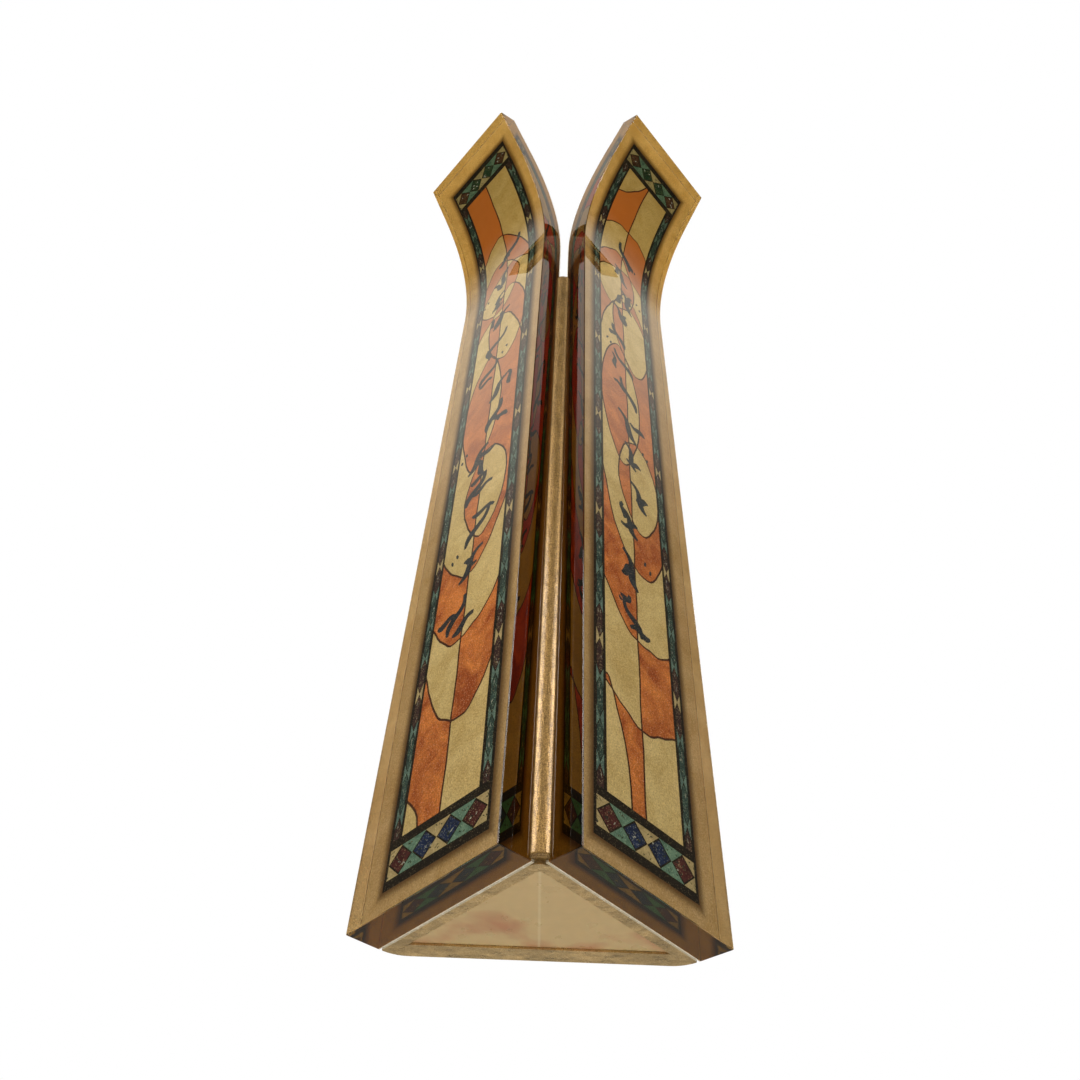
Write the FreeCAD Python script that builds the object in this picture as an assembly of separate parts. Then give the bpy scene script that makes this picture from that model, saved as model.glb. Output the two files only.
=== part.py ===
"""Mezuzah case: a folded triangular body that carries two thick clear face slabs with bent-out heads.

Frame: the origin is the middle of the mounting tape's outer face, which lies on the doorpost.
+X is to the right of someone facing the case, +Y goes into the doorpost, +Z is up. Millimetres.
"""
import FreeCAD, Part
import math
import os

# ---- Overall sizes -------------------------------------------------------------------------------
FACE_ANGLE = 48.3        # degrees between each face slab and the doorpost
BODY_LENGTH = 143.0      # folded body, end to end
SLAB_WIDTH = 29.0
SLAB_THICKNESS = 5.0
BEND_ABOVE_BODY = 13.5   # a slab runs this far above the body before it bends
HEAD_RADIUS = 85.0       # bend radius of the slab's rear surface
HEAD_ANGLE = 30.8        # degrees that the head leans out
HEAD_TAIL = 12.2         # straight length beyond the bend
RIDGE_SETBACK = 1.35     # from the line where the two faces would meet to a slab's inner edge
EDGE_EASE = 0.25         # eased edges of the slabs

# ---- Layers between a slab and the body ----------------------------------------------------------
PRINT_THICKNESS = 0.15
BOND_THICKNESS = 0.20
BOND_INSET = 0.6         # bond film stops short of the slab's outer edge

# ---- Folded body ---------------------------------------------------------------------------------
SHELL_WALL = 1.5
FOLD_INSIDE_RADIUS = 0.5 # inside of the fold along the ridge
PLATE_THICKNESS = 3.0    # back plate, rebated along both long edges
PLATE_REBATE = 1.6       # part of that thickness which sits between the body's legs
PLATE_EASE_RUN = 3.3     # width of the eased rear edge
PLATE_EASE_LAND = 0.2    # square land left beside the leg
JOINT_GAP = 0.03         # cement line between plate and legs

# ---- Plugs ---------------------------------------------------------------------------------------
PLUG_DEPTH = 5.0
PLUG_RECESS = 0.3        # outer face below the body's end
PLUG_CLEARANCE = 0.06    # bottom plug, all round in the body's hollow
CEMENT_GAP = 0.03        # top plug, all round
PLUG_LEAD_IN = 0.5       # chamfer on the edges that enter the body
PLUG_NOSE_EXTRA = 0.3    # the nose under the fold is rounder than the fold by this

# ---- Gold bead in the groove between the slabs ---------------------------------------------------
BEAD_CLEARANCE = 0.03
BEAD_RISE = 0.40         # how far it climbs the slabs' inner sides
BEAD_CROWN = 0.40        # how far its middle stands above its edges
BEAD_SHORT = 0.3         # stops this far above the bottom end

# ---- Mounting tape -------------------------------------------------------------------------------
TAPE_WIDTH = 24.0
TAPE_END_MARGIN = 11.5   # bare back above and below the tape
TAPE_THICKNESS = 1.0
TAPE_CORNER = 3.0

# ---- Scroll --------------------------------------------------------------------------------------
SHEET_THICKNESS = 0.35   # parchment
ROLL_PITCH = 0.56        # from one turn to the next
ROLL_HALF_TURNS = 7
SLEEVE_WALL = 0.12
SLEEVE_EXTRA = 2.0       # the sleeve is longer than the sheet by this
SLEEVE_CLEARANCE = 0.10  # round the roll
CHAMBER_CLEARANCE = 0.45 # between the sleeve and the three walls of the hollow
SCROLL_SEAT_GAP = 0.3    # above the bottom plug
SCROLL_HEAD_ROOM = 10.1  # below the top plug

# ---- Worked out from the sizes above -------------------------------------------------------------
LEAN = math.radians(FACE_ANGLE)
ACROSS = math.cos(LEAN)
INWARD = math.sin(LEAN)
SKIN = PRINT_THICKNESS + BOND_THICKNESS
OUTER_EDGE = RIDGE_SETBACK + SLAB_WIDTH
SLAB_STRAIGHT = BODY_LENGTH + BEND_ABOVE_BODY
TAPE_LENGTH = BODY_LENGTH - 2 * TAPE_END_MARGIN
RIDGE_FOLD_RADIUS = FOLD_INSIDE_RADIUS + SHELL_WALL
PLUG_NOSE_RADIUS = FOLD_INSIDE_RADIUS + PLUG_NOSE_EXTRA
CHAMBER_LENGTH = BODY_LENGTH - 2 * (PLUG_RECESS + PLUG_DEPTH)
SLEEVE_LENGTH = CHAMBER_LENGTH - SCROLL_SEAT_GAP - SCROLL_HEAD_ROOM
SHEET_HEIGHT = SLEEVE_LENGTH - SLEEVE_EXTRA
BOTTOM_Z = -BODY_LENGTH / 2
TOP_Z = BODY_LENGTH / 2
PLATE_BACK_Y = -TAPE_THICKNESS
FOOT_Y = PLATE_BACK_Y - (PLATE_THICKNESS - PLATE_REBATE)
PLATE_FRONT_Y = PLATE_BACK_Y - PLATE_THICKNESS
APEX_Y = FOOT_Y - OUTER_EDGE * INWARD
SHELL_OUTSIDE = -SKIN
SHELL_INSIDE = -SKIN - SHELL_WALL
FOLD_CENTRE_Y = APEX_Y + (SKIN + RIDGE_FOLD_RADIUS) / ACROSS
OUTPUT = "parts"


def section(side, along, proud):
    """Point in the cross-section: so far along a slab's rear plane from the ridge, and so far proud of it."""
    x = side * (along * ACROSS + proud * INWARD)
    y = APEX_Y + along * INWARD - proud * ACROSS
    return FreeCAD.Vector(x, y, 0)


def slope_x(proud, y):
    """Half width at depth y, between the two planes that stand proud of the slabs' rear planes."""
    along = (y - APEX_Y + proud * ACROSS) / INWARD
    return along * ACROSS + proud * INWARD


def line(a, b):
    return Part.LineSegment(a, b).toShape()


def arc(a, middle, b):
    return Part.Arc(a, middle, b).toShape()


def extrude(edges, low, high):
    """Closed outline in the cross-section plane, pushed along Z."""
    face = Part.Face(Part.Wire(edges))
    face.translate(FreeCAD.Vector(0, 0, low))
    return face.extrude(FreeCAD.Vector(0, 0, high - low))


def outline(points):
    return [line(a, b) for a, b in zip(points, points[1:] + points[:1])]


def at(x, y):
    return FreeCAD.Vector(x, y, 0)


# ---- Face slabs and prints -----------------------------------------------------------------------
def bent_strip(side, rear, front):
    """A strip of a slab's length and width between two heights over the slab's rear plane."""
    corner = section(side, RIDGE_SETBACK, 0) + FreeCAD.Vector(0, 0, BOTTOM_Z)
    up = FreeCAD.Vector(0, 0, 1)
    out = FreeCAD.Vector(side * INWARD, -ACROSS, 0)
    width = FreeCAD.Vector(side * ACROSS, INWARD, 0) * SLAB_WIDTH

    def place(height, proud):
        return corner + up * height + out * proud

    def path(proud):
        radius = HEAD_RADIUS - proud

        def bend(degrees):
            turn = math.radians(degrees)
            return SLAB_STRAIGHT + radius * math.sin(turn), HEAD_RADIUS - radius * math.cos(turn)

        turn = math.radians(HEAD_ANGLE)
        end = bend(HEAD_ANGLE)
        tip = end[0] + HEAD_TAIL * math.cos(turn), end[1] + HEAD_TAIL * math.sin(turn)
        return [place(0, proud), place(SLAB_STRAIGHT, proud), place(*bend(HEAD_ANGLE / 2)),
                place(*end), place(*tip)]

    back = path(rear)
    face = path(front)
    edges = [line(back[0], back[1]), arc(*back[1:4]), line(back[3], back[4]), line(back[4], face[4]),
             line(face[4], face[3]), arc(face[3], face[2], face[1]), line(face[1], face[0]),
             line(face[0], back[0])]
    return Part.Face(Part.Wire(edges)).extrude(width)


def slab(side):
    solid = bent_strip(side, 0, SLAB_THICKNESS)
    return solid.makeFillet(EDGE_EASE, solid.Edges)


def printed_sheet(side):
    return bent_strip(side, -PRINT_THICKNESS, 0)


def bond_film(side):
    inner = RIDGE_SETBACK
    outer = OUTER_EDGE - BOND_INSET
    points = [section(side, inner, -SKIN), section(side, outer, -SKIN),
              section(side, outer, -PRINT_THICKNESS), section(side, inner, -PRINT_THICKNESS)]
    return extrude(outline(points), BOTTOM_Z, TOP_Z)


# ---- Folded body ---------------------------------------------------------------------------------
def fold_points(proud, radius, foot):
    """One side of the folded sheet: right foot, right tangent, crown, left tangent and left foot."""
    tangent_y = FOLD_CENTRE_Y - radius * ACROSS
    return [at(slope_x(proud, foot), foot), at(radius * INWARD, tangent_y), at(0, FOLD_CENTRE_Y - radius),
            at(-radius * INWARD, tangent_y), at(-slope_x(proud, foot), foot)]


def body_shell():
    outer = fold_points(SHELL_OUTSIDE, RIDGE_FOLD_RADIUS, FOOT_Y)
    inner = fold_points(SHELL_INSIDE, FOLD_INSIDE_RADIUS, FOOT_Y)
    edges = [line(outer[0], outer[1]), arc(*outer[1:4]), line(outer[3], outer[4]), line(outer[4], inner[4]),
             line(inner[4], inner[3]), arc(inner[3], inner[2], inner[1]), line(inner[1], inner[0]),
             line(inner[0], outer[0])]
    return extrude(edges, BOTTOM_Z, TOP_Z)


def back_plate():
    """Flat plate: its rebated front part sits between the legs, its rear part closes over their feet."""
    tongue_proud = SHELL_INSIDE - JOINT_GAP
    flange_y = FOOT_Y + JOINT_GAP
    edge_x = slope_x(SHELL_OUTSIDE, FOOT_Y)
    land_y = flange_y + PLATE_EASE_LAND
    ease_x = edge_x - PLATE_EASE_RUN
    drop = PLATE_BACK_Y - land_y
    radius = (PLATE_EASE_RUN ** 2 + drop ** 2) / (2 * drop)
    half_turn = math.asin(PLATE_EASE_RUN / radius) / 2
    middle = at(ease_x + radius * math.sin(half_turn), PLATE_BACK_Y - radius * (1 - math.cos(half_turn)))
    eased = at(ease_x, PLATE_BACK_Y)
    right = [at(slope_x(tongue_proud, PLATE_FRONT_Y), PLATE_FRONT_Y),
             at(slope_x(tongue_proud, flange_y), flange_y), at(edge_x, flange_y), at(edge_x, land_y)]
    mirrored = [at(-p.x, p.y) for p in reversed(right)]
    edges = [line(a, b) for a, b in zip(right, right[1:])]
    edges += [arc(right[-1], middle, eased), line(eased, at(-eased.x, eased.y)),
              arc(at(-eased.x, eased.y), at(-middle.x, middle.y), mirrored[0])]
    edges += [line(a, b) for a, b in zip(mirrored, mirrored[1:])]
    edges.append(line(mirrored[-1], right[0]))
    return extrude(edges, BOTTOM_Z, TOP_Z)


# ---- Plugs ---------------------------------------------------------------------------------------
def plug_outline(inset):
    """The hollow's triangle, taken in by inset on every side, with a rounded nose under the fold."""
    proud = SHELL_INSIDE - inset
    base_y = PLATE_FRONT_Y - inset
    nose_y = APEX_Y + (PLUG_NOSE_RADIUS - proud) / ACROSS
    tangent = at(PLUG_NOSE_RADIUS * INWARD, nose_y - PLUG_NOSE_RADIUS * ACROSS)
    corner = at(slope_x(proud, base_y), base_y)
    return [line(at(-corner.x, base_y), corner), line(corner, tangent),
            arc(tangent, at(0, nose_y - PLUG_NOSE_RADIUS), at(-tangent.x, tangent.y)),
            line(at(-tangent.x, tangent.y), at(-corner.x, base_y))]


def plug(end_z, inward, clearance):
    """Triangular plug: outer face just inside the body's end, with a lead-in at its inner edges."""
    outer_z = end_z + inward * PLUG_RECESS
    shoulder_z = outer_z + inward * (PLUG_DEPTH - PLUG_LEAD_IN)
    inner_z = outer_z + inward * PLUG_DEPTH
    shank = extrude(plug_outline(clearance), outer_z, shoulder_z)
    wide = Part.Wire(plug_outline(clearance))
    wide.translate(FreeCAD.Vector(0, 0, shoulder_z))
    narrow = Part.Wire(plug_outline(clearance + PLUG_LEAD_IN))
    narrow.translate(FreeCAD.Vector(0, 0, inner_z))
    return shank.fuse(Part.makeLoft([wide, narrow], True, True)).removeSplitter()


# ---- Gold bead -----------------------------------------------------------------------------------
def ridge_bead():
    edge = RIDGE_SETBACK - BEAD_CLEARANCE
    top = section(1, edge, BEAD_RISE)
    corner = section(1, edge, 0)
    heel = section(1, edge, -SKIN)
    seat = at(0, FOLD_CENTRE_Y - RIDGE_FOLD_RADIUS - BEAD_CLEARANCE)
    crown = at(0, top.y - BEAD_CROWN)
    right = [top, corner, heel]
    left = [at(-p.x, p.y) for p in reversed(right)]
    around = right + [seat] + left
    edges = [line(a, b) for a, b in zip(around, around[1:])]
    edges.append(arc(left[-1], crown, top))
    return extrude(edges, BOTTOM_Z + BEAD_SHORT, TOP_Z)


# ---- Mounting tape -------------------------------------------------------------------------------
def mounting_tape():
    tape = Part.makeBox(TAPE_WIDTH, TAPE_THICKNESS, TAPE_LENGTH,
                        FreeCAD.Vector(-TAPE_WIDTH / 2, -TAPE_THICKNESS, -TAPE_LENGTH / 2))
    corners = [e for e in tape.Edges if abs(e.tangentAt(e.FirstParameter).y) > 0.9]
    return tape.makeFillet(TAPE_CORNER, corners)


# ---- Scroll --------------------------------------------------------------------------------------
def chamber():
    """Middle and radius of the largest round thing that the hollow takes."""
    half_base = slope_x(SHELL_INSIDE, PLATE_FRONT_Y)
    radius = half_base * math.tan(LEAN / 2)
    return PLATE_FRONT_Y - radius, radius


CHAMBER_Y, CHAMBER_RADIUS = chamber()
SLEEVE_RADIUS = CHAMBER_RADIUS - CHAMBER_CLEARANCE
ROLL_RADIUS = SLEEVE_RADIUS - SLEEVE_WALL - SLEEVE_CLEARANCE - ROLL_PITCH / 4
SCROLL_BOTTOM_Z = BOTTOM_Z + PLUG_RECESS + PLUG_DEPTH + SCROLL_SEAT_GAP


def rolled_sheet():
    """Spiral of half turns, each half a pitch tighter than the last, about centres a quarter pitch aside."""
    outer = []
    inner = []
    for turn in range(ROLL_HALF_TURNS):
        way = 1 if turn % 2 == 0 else -1
        middle_x = way * ROLL_PITCH / 4
        radius = ROLL_RADIUS - turn * ROLL_PITCH / 2
        for reach, found in ((radius, outer), (radius - SHEET_THICKNESS, inner)):
            found.append((at(middle_x + way * reach, CHAMBER_Y), at(middle_x, CHAMBER_Y + way * reach),
                          at(middle_x - way * reach, CHAMBER_Y)))
    edges = [arc(*points) for points in outer]
    edges.append(line(outer[-1][2], inner[-1][2]))
    edges += [arc(*reversed(points)) for points in reversed(inner)]
    edges.append(line(inner[0][0], outer[0][0]))
    low = SCROLL_BOTTOM_Z + SLEEVE_EXTRA / 2
    return extrude(edges, low, low + SHEET_HEIGHT)


def scroll_sleeve():
    middle = FreeCAD.Vector(0, CHAMBER_Y, SCROLL_BOTTOM_Z)
    up = FreeCAD.Vector(0, 0, 1)
    outside = Part.makeCylinder(SLEEVE_RADIUS, SLEEVE_LENGTH, middle, up)
    return outside.cut(Part.makeCylinder(SLEEVE_RADIUS - SLEEVE_WALL, SLEEVE_LENGTH, middle, up))


LEFT, RIGHT = -1, 1
NODES = {
    "body_shell": body_shell(),
    "back_plate": back_plate(),
    "top_plug": plug(TOP_Z, -1, CEMENT_GAP),
    "bottom_plug": plug(BOTTOM_Z, 1, PLUG_CLEARANCE),
    "ridge_bead": ridge_bead(),
    "left_slab": slab(LEFT),
    "right_slab": slab(RIGHT),
    "left_print": printed_sheet(LEFT),
    "right_print": printed_sheet(RIGHT),
    "left_bond_film": bond_film(LEFT),
    "right_bond_film": bond_film(RIGHT),
    "mounting_tape": mounting_tape(),
    "scroll_parchment": rolled_sheet(),
    "scroll_sleeve": scroll_sleeve(),
}

os.makedirs(OUTPUT, exist_ok=True)
for name, shape in NODES.items():
    shape.exportStep(os.path.join(OUTPUT, name + ".step"))
    box = shape.BoundBox
    spans = [round(v, 2) for v in (box.XMin, box.XMax, box.YMin, box.YMax, box.ZMin, box.ZMax)]
    print(name, "valid" if shape.isValid() else "INVALID", len(shape.Solids), round(shape.Volume, 1), spans)
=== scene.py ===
import math
import random
import bmesh
import bpy
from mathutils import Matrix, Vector
from mathutils.geometry import delaunay_2d_cdt


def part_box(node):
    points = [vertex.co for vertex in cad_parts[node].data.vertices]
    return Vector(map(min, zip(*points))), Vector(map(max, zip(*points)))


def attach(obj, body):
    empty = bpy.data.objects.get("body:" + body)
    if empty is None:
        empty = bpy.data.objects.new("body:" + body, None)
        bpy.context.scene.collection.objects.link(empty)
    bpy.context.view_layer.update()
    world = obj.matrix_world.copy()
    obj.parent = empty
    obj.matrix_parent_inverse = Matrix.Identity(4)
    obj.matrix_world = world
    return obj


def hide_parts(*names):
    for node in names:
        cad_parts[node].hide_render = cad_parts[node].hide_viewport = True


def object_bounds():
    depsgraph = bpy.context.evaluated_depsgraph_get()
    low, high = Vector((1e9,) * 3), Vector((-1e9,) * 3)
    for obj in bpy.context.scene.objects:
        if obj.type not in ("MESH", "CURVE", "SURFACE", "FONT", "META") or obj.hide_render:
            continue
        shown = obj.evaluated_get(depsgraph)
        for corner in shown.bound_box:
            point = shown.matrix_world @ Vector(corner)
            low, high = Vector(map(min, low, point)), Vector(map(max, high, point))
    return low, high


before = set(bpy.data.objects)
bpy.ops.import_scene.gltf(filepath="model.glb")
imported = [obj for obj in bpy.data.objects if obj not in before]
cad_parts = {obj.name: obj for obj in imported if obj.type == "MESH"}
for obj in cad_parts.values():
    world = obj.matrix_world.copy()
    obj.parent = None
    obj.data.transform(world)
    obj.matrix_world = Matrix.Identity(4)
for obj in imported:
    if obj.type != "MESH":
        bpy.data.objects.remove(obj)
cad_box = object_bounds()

# ---- Clear face slabs ------------------------------------------------------------------------------
# Two strips of 5 mm clear cast acrylic, sawn, polished on their faces and heat bent so that their heads
# lean out. Each is bonded over its print to one slope of the folded body.
FACE_ANGLE = math.radians(48.3)
SLAB_WIDTH = 0.029
SLAB_THICKNESS = 0.005
SLAB_STRAIGHT = 0.1565
HEAD_RADIUS = 0.085
HEAD_ANGLE = math.radians(30.8)
HEAD_TAIL = 0.0122
RIDGE_SETBACK = 0.00135
SLAB_EASE = 0.00015
EASE_STEPS = 4
STRAIGHT_STEPS = 4
BEND_STEPS = 60
SLAB_LENGTH = SLAB_STRAIGHT + HEAD_RADIUS * HEAD_ANGLE + HEAD_TAIL
ACRYLIC_IOR = 1.49
FACE_TINT = (0.99, 0.985, 0.96)
FACE_SHINE = 0.5
SHADE_TINT = (0.95, 0.945, 0.92)
# Tints of a sawn edge, which are painted shade: a dark one along the body, where little light reaches the
# edges, and a light one at the head where it is clear.
RIDGE_SIDE_SHADE_TINTS = ((0.09, 0.045, 0.006), (0.82, 0.77, 0.62))
OUTER_SIDE_SHADE_TINTS = ((0.50, 0.40, 0.20), (0.82, 0.77, 0.62))
END_SHADE_TINTS = ((0.16, 0.11, 0.022), (0.36, 0.26, 0.08))
EDGE_SHINE = 0.12
EDGE_SHADE_FULL_BELOW = 0.150
EDGE_SHADE_GONE_ABOVE = 0.185
SIDES = {"left": -1, "right": 1}
BODY = "case"

slab_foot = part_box("left_slab")[0][2]
shell_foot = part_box("body_shell")[1][1]
ridge_y = shell_foot - (RIDGE_SETBACK + SLAB_WIDTH) * math.sin(FACE_ANGLE)


def strip_point(side, across, along, proud):
    """Place on a bent strip: across from its ridge edge, along from its bottom end and proud of its
    rear face."""
    turn = min(max(along - SLAB_STRAIGHT, 0) / HEAD_RADIUS, HEAD_ANGLE)
    tail = max(along - SLAB_STRAIGHT - HEAD_RADIUS * HEAD_ANGLE, 0)
    up = min(along, SLAB_STRAIGHT) + (HEAD_RADIUS - proud) * math.sin(turn) + tail * math.cos(turn)
    out = HEAD_RADIUS - (HEAD_RADIUS - proud) * math.cos(turn) + tail * math.sin(turn)
    edge = RIDGE_SETBACK + across
    return Vector((side * (edge * math.cos(FACE_ANGLE) + out * math.sin(FACE_ANGLE)),
                   ridge_y + edge * math.sin(FACE_ANGLE) - out * math.cos(FACE_ANGLE), slab_foot + up))


def add_piece(name, vertices, faces, materials, indices=None, smooth=True):
    mesh = bpy.data.meshes.new(name)
    mesh.from_pydata(vertices, [], faces)
    for material in materials:
        mesh.materials.append(material)
    mesh.polygons.foreach_set("use_smooth", [smooth] * len(mesh.polygons))
    if indices:
        mesh.polygons.foreach_set("material_index", indices)
    mesh.update()
    piece = bpy.data.objects.new(name, mesh)
    bpy.context.collection.objects.link(piece)
    return piece


def tidy_surface(piece):
    """Welds doubled points, turns every face outwards and evens the shading beside small roundings."""
    work = bmesh.new()
    work.from_mesh(piece.data)
    bmesh.ops.remove_doubles(work, verts=work.verts, dist=1e-7)
    bmesh.ops.recalc_face_normals(work, faces=work.faces)
    work.to_mesh(piece.data)
    work.free()
    piece.modifiers.new("even shading", "WEIGHTED_NORMAL").keep_sharp = True


def slab_section(inset):
    """Section of a slab with eased corners, drawn in by inset, as (across, proud) points."""
    tight = max(SLAB_EASE - inset, 0)
    outer, front = SLAB_WIDTH - SLAB_EASE, SLAB_THICKNESS - SLAB_EASE
    middles = [(SLAB_EASE, SLAB_EASE), (outer, SLAB_EASE), (outer, front), (SLAB_EASE, front)]
    points = []
    for corner, (x, y) in enumerate(middles):
        for step in range(EASE_STEPS + 1):
            angle = math.pi * (1 + corner / 2 + step / EASE_STEPS / 2)
            points.append((x + tight * math.cos(angle), y + tight * math.sin(angle)))
    return points


def face_slab(name, side, finishes):
    """Closed bar along the bent strip with eased long edges and ends. A ring of its mesh runs over the
    rear face, the outer side, the front face and the ridge side. The finishes are those of the faces,
    the outer side, the ridge side and the ends."""
    eased = [math.pi / 2 * step / EASE_STEPS for step in range(EASE_STEPS + 1)]
    stations = [(SLAB_EASE * (1 - math.cos(a)), SLAB_EASE * (1 - math.sin(a))) for a in eased]
    middle = [(SLAB_STRAIGHT * k / STRAIGHT_STEPS, 0) for k in range(1, STRAIGHT_STEPS)]
    bend = SLAB_LENGTH - SLAB_STRAIGHT - 2 * SLAB_EASE
    middle += [(SLAB_STRAIGHT + bend * k / BEND_STEPS, 0) for k in range(BEND_STEPS + 1)]
    top = [(SLAB_LENGTH - s, i) for s, i in reversed(stations)]
    face_finish, outer_finish, ridge_finish, end_finish = range(4)
    around = (face_finish, outer_finish, face_finish, ridge_finish)
    vertices, faces, finish = [], [], []
    for along, inset in stations + middle + top:
        for across, proud in slab_section(inset):
            vertices.append(strip_point(side, across, along, proud))
    ring = len(slab_section(0))
    rings = len(vertices) // ring
    for r in range(rings - 1):
        for k in range(ring):
            a, b = r * ring + k, r * ring + (k + 1) % ring
            faces.append((a, b, b + ring, a + ring))
            finish.append(around[k // (EASE_STEPS + 1)])
    faces.append(tuple(range(ring)))
    faces.append(tuple(range((rings - 1) * ring, rings * ring)))
    piece = add_piece(name, vertices, faces, finishes, finish + [end_finish, end_finish])
    tidy_surface(piece)
    return piece


def new_material(name, colour, roughness, **sockets):
    """Principled material; sockets are its other inputs, with underscores for spaces."""
    material = bpy.data.materials.new(name)
    material.use_nodes = True
    shader = material.node_tree.nodes["Principled BSDF"]
    shader.inputs["Base Color"].default_value = (*colour, 1)
    shader.inputs["Roughness"].default_value = roughness
    for socket, value in sockets.items():
        shader.inputs[socket.replace("_", " ")].default_value = value
    return material


def add_node(material, kind, inputs=None, **settings):
    """Adds a node; inputs maps a socket to a value or to another node's output."""
    node = material.node_tree.nodes.new(kind)
    for key, value in settings.items():
        setattr(node, key, value)
    for key, value in (inputs or {}).items():
        if isinstance(value, bpy.types.NodeSocket):
            material.node_tree.links.new(value, node.inputs[key])
        else:
            node.inputs[key].default_value = value
    return node


def plug_in(material, output, socket):
    material.node_tree.links.new(output, material.node_tree.nodes["Principled BSDF"].inputs[socket])


def grain(material, scale, detail=2.0, roughness=0.5, distortion=0.0, stretch=(1, 1, 1)):
    """Noise over the piece's own space, scale in cells per metre."""
    place = add_node(material, "ShaderNodeTexCoord").outputs["Object"]
    mapped = add_node(material, "ShaderNodeMapping", {"Vector": place, "Scale": stretch}).outputs[0]
    return add_node(material, "ShaderNodeTexNoise", {"Vector": mapped, "Scale": scale, "Detail": detail,
                    "Roughness": roughness, "Distortion": distortion}).outputs[0]


def remap(material, value, low, high, to_low, to_high):
    return add_node(material, "ShaderNodeMapRange", {"Value": value, "From Min": low, "From Max": high,
                    "To Min": to_low, "To Max": to_high}).outputs[0]


def blend_colours(material, share, first, second, kind="MIX"):
    """Mixes two colours or colour outputs by a share output."""
    node = add_node(material, "ShaderNodeMix", data_type="RGBA", blend_type=kind)
    for socket, value in ((node.inputs[0], share), (node.inputs[6], first), (node.inputs[7], second)):
        if isinstance(value, bpy.types.NodeSocket):
            material.node_tree.links.new(value, socket)
        elif isinstance(value, (tuple, list)):
            socket.default_value = (*value, 1)
        else:
            socket.default_value = value
    return node.outputs[2]


def raise_surface(material, height, distance):
    """Raises the surface by a height output, distance metres at most."""
    bump = add_node(material, "ShaderNodeBump", {"Height": height, "Distance": distance, "Strength": 1.0})
    plug_in(material, bump.outputs[0], "Normal")


def clear_acrylic(name, tint, rough, ripple, shine):
    """Acrylic with faint wiping haze and fine ripples, which lets lamps through to the print."""
    material = new_material(name, tint, rough, IOR=ACRYLIC_IOR, Transmission_Weight=1.0,
                            Specular_IOR_Level=shine)
    haze = remap(material, grain(material, 90, 4), 0.45, 0.75, 0.4 * rough, 2.5 * rough)
    plug_in(material, haze, "Roughness")
    raise_surface(material, grain(material, 45, 1), ripple)
    nodes, links = material.node_tree.nodes, material.node_tree.links
    path = add_node(material, "ShaderNodeLightPath")
    passed = add_node(material, "ShaderNodeBsdfTransparent", {"Color": (*SHADE_TINT, 1)})
    mixed = add_node(material, "ShaderNodeMixShader", {0: path.outputs["Is Shadow Ray"],
                     1: nodes["Principled BSDF"].outputs[0], 2: passed.outputs[0]})
    links.new(mixed.outputs[0], nodes["Material Output"].inputs["Surface"])
    return material


polished_face = clear_acrylic("polished acrylic", FACE_TINT, 0.02, 0.00004, FACE_SHINE)


def sawn_acrylic_painted_shade(name, shade_tints):
    """Sawn edge with painted shade: the dark first tint along the body, which clears to the second towards
    the head.
    """
    material = clear_acrylic(name, shade_tints[0], 0.04, 0.00008, EDGE_SHINE)
    place = add_node(material, "ShaderNodeTexCoord").outputs["Object"]
    height = add_node(material, "ShaderNodeSeparateXYZ", {0: place}).outputs[2]
    # Painted shade: the edge is darkest below the first height and clear above the second.
    shade_fading = remap(material, height, slab_foot + EDGE_SHADE_FULL_BELOW, slab_foot + EDGE_SHADE_GONE_ABOVE, 0, 1)
    plug_in(material, blend_colours(material, shade_fading, *shade_tints), "Base Color")
    return material


outer_side = sawn_acrylic_painted_shade("sawn acrylic outer side, painted shade", OUTER_SIDE_SHADE_TINTS)
ridge_side = sawn_acrylic_painted_shade("sawn acrylic ridge side, painted shade", RIDGE_SIDE_SHADE_TINTS)
shaded_sawn_end = sawn_acrylic_painted_shade("sawn acrylic end, painted shade", END_SHADE_TINTS)
for name, side in SIDES.items():
    slab = face_slab(name + "_face_slab", side, [polished_face, outer_side, ridge_side, shaded_sawn_end])
    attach(slab, BODY)
    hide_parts(name + "_slab")

# ---- Printed sheets --------------------------------------------------------------------------------
# Thin printed sheets behind the slabs: gold margin, black frame, a band of lozenges and a two-tone
# field of scallops and petals with loose brush strokes. Their fronts are wetted onto the acrylic.
# The three SHEET sizes are in metres, the artwork's in millimetres across and along the sheet.
SHEET_THICKNESS = 0.00015
SHEET_WETTED = 0.00002
SHEET_INSET = 0.00005
FRAME_LOW, FRAME_HIGH = (4.5, 4.85), (25.2, 209.5)
SIDE_BAND = 2.6
END_BAND = 7.05
SIDE_LINE = 0.55
END_LINE = 1.4
FIELD_LOW = (FRAME_LOW[0] + SIDE_BAND, FRAME_LOW[1] + END_BAND)
FIELD_HIGH = (FRAME_HIGH[0] - SIDE_BAND, FRAME_HIGH[1] - END_BAND)
FIELD_MIDDLE = (FIELD_LOW[0] + FIELD_HIGH[0]) / 2
CONTOUR_WIDTH = 0.36
SIDE_UNITS = 7
SIDE_SHOULDER = 1.7
GAP_FLECKS = 3
LOZENGE_FLECKS = 6
FIELD_ROW = 4
STROKE_STEPS = 12
HEAD_CUTS = 44
MARKS_FROM, MARKS_TO = 42, 178
MARKS = 13
PRINT_SEED = 3
ROSE_FROM, ROSE_TO = 60, 130
HEAD_FROM, HEAD_TO = 160, 185
AIRBRUSH_REACH = 1.7
AIRBRUSH_BROWN = (80, 56, 28)
MM = 0.001
MIDDLE_ROSE = (0.50, 0.47, 0.36)
HEAD_ORANGE = (0.42, 0.20, 0.012)
HEAD_DUSK = (0.62, 0.62, 0.50)
HEAD_SAND = (0.70, 0.62, 0.42)
HEAD_GOLD = (1.34, 1.20, 0.72)


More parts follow.
